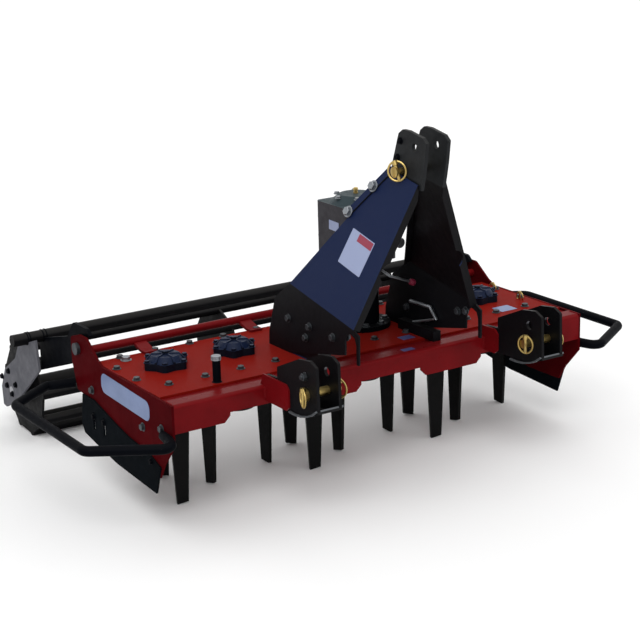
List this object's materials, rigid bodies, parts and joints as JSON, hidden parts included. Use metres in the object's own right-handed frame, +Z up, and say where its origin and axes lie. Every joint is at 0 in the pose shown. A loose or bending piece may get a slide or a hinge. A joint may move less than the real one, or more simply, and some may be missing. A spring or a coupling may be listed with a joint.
{
  "type": "power harrow",
  "caption": "Tractor power harrow: geared vertical-axis tine rotors under a red trough, black three-point headstock, gearbox, tube side guards and a rear cage roller.",
  "frame": {"origin": "on the ground, in the middle of the machine's length and width", "axes": "+X across the machine to its right seen from the front, +Y to the rear where the roller is, +Z up"},
  "size_m": [2.128, 1.6034, 1.178],
  "materials": {
    "red_enamel": "gloss enamel over pressed and folded steel",
    "black_enamel": "satin black enamel",
    "grey_paint": "dusty dark grey paint",
    "dark_cast": "painted rough casting",
    "gearbox_paint": "painted casting",
    "zinc_steel": "yellow zinc plate",
    "bare_steel": "machined",
    "forged_black": "black forging",
    "tine_steel": "black painted hardened steel"
  },
  "bodies": {
    "frame": {"gear_trough": "red_enamel", "trough_cover": "red_enamel", "front_beam": "red_enamel", "rear_tube": "red_enamel", "side_plate_left": "red_enamel", "side_plate_right": "red_enamel", "bearing_caps": "dark_cast", "rotor_bearings": "dark_cast", "gearbox_rear_cap": "dark_cast", "gearbox": "gearbox_paint", "gearbox_column": "gearbox_paint", "deflector_left": "grey_paint", "deflector_right": "grey_paint", "side_guard_left": "black_enamel", "side_guard_right": "black_enamel", "hitch_bracket_left": "black_enamel", "hitch_bracket_right": "black_enamel", "headstock_foot_left": "black_enamel", "headstock_foot_right": "black_enamel", "headstock_leg_left": "black_enamel", "headstock_leg_right": "black_enamel", "top_link_ear_left": "black_enamel", "top_link_ear_right": "black_enamel", "hitch_pin_left": "zinc_steel", "hitch_pin_right": "zinc_steel", "headstock_lock_pin": "zinc_steel", "arm_pivot_left": "zinc_steel", "arm_pivot_right": "zinc_steel"},
    "rotor_1": {"rotor_holder_1": "forged_black", "rotor_tines_1": "tine_steel"},
    "rotor_2": {"rotor_holder_2": "forged_black", "rotor_tines_2": "tine_steel"},
    "rotor_3": {"rotor_holder_3": "forged_black", "rotor_tines_3": "tine_steel"},
    "rotor_4": {"rotor_holder_4": "forged_black", "rotor_tines_4": "tine_steel"},
    "rotor_5": {"rotor_holder_5": "forged_black", "rotor_tines_5": "tine_steel"},
    "rotor_6": {"rotor_holder_6": "forged_black", "rotor_tines_6": "tine_steel"},
    "pto_input": {"input_shaft": "bare_steel"},
    "roller_arms": {"roller_arm_left": "black_enamel", "roller_arm_right": "black_enamel", "roller_cross_tube": "black_enamel", "roller_end_plate_left": "grey_paint", "roller_end_plate_right": "grey_paint", "roller_bearing_left": "dark_cast", "roller_bearing_right": "dark_cast"},
    "roller": {"roller_cage": "black_enamel", "roller_stub_axles": "bare_steel"}
  },
  "joints": [
    {"name": "rotor_1_spin", "type": "hinge", "parent": "frame", "child": "rotor_1", "pos_m": [-0.625, -0.154, 0.25], "axis": [0, 0, 1], "continuous": true},
    {"name": "rotor_2_spin", "type": "hinge", "parent": "frame", "child": "rotor_2", "pos_m": [-0.375, -0.154, 0.25], "axis": [0, 0, 1], "continuous": true},
    {"name": "rotor_3_spin", "type": "hinge", "parent": "frame", "child": "rotor_3", "pos_m": [-0.125, -0.154, 0.25], "axis": [0, 0, 1], "continuous": true},
    {"name": "rotor_4_spin", "type": "hinge", "parent": "frame", "child": "rotor_4", "pos_m": [0.125, -0.154, 0.25], "axis": [0, 0, 1], "continuous": true},
    {"name": "rotor_5_spin", "type": "hinge", "parent": "frame", "child": "rotor_5", "pos_m": [0.375, -0.154, 0.25], "axis": [0, 0, 1], "continuous": true},
    {"name": "rotor_6_spin", "type": "hinge", "parent": "frame", "child": "rotor_6", "pos_m": [0.625, -0.154, 0.25], "axis": [0, 0, 1], "continuous": true},
    {"name": "input_shaft_spin", "type": "hinge", "parent": "frame", "child": "pto_input", "pos_m": [0.125, -0.354, 0.752], "axis": [0, 1, 0], "continuous": true},
    {"name": "roller_height", "type": "hinge", "parent": "frame", "child": "roller_arms", "pos_m": [0, 0.134, 0.44], "axis": [1, 0, 0], "range_deg": [-8, 20]},
    {"name": "roller_spin", "type": "hinge", "parent": "roller_arms", "child": "roller", "pos_m": [0, 0.636, 0.16407], "axis": [1, 0, 0], "continuous": true}
  ],
  "couplings": [
    {"joint": "rotor_1_spin", "follows": "rotor_4_spin", "ratio": -1},
    {"joint": "rotor_2_spin", "follows": "rotor_4_spin", "ratio": 1},
    {"joint": "rotor_3_spin", "follows": "rotor_4_spin", "ratio": -1},
    {"joint": "rotor_5_spin", "follows": "rotor_4_spin", "ratio": -1},
    {"joint": "rotor_6_spin", "follows": "rotor_4_spin", "ratio": 1},
    {"joint": "input_shaft_spin", "follows": "rotor_4_spin", "ratio": 1.6}
  ]
}
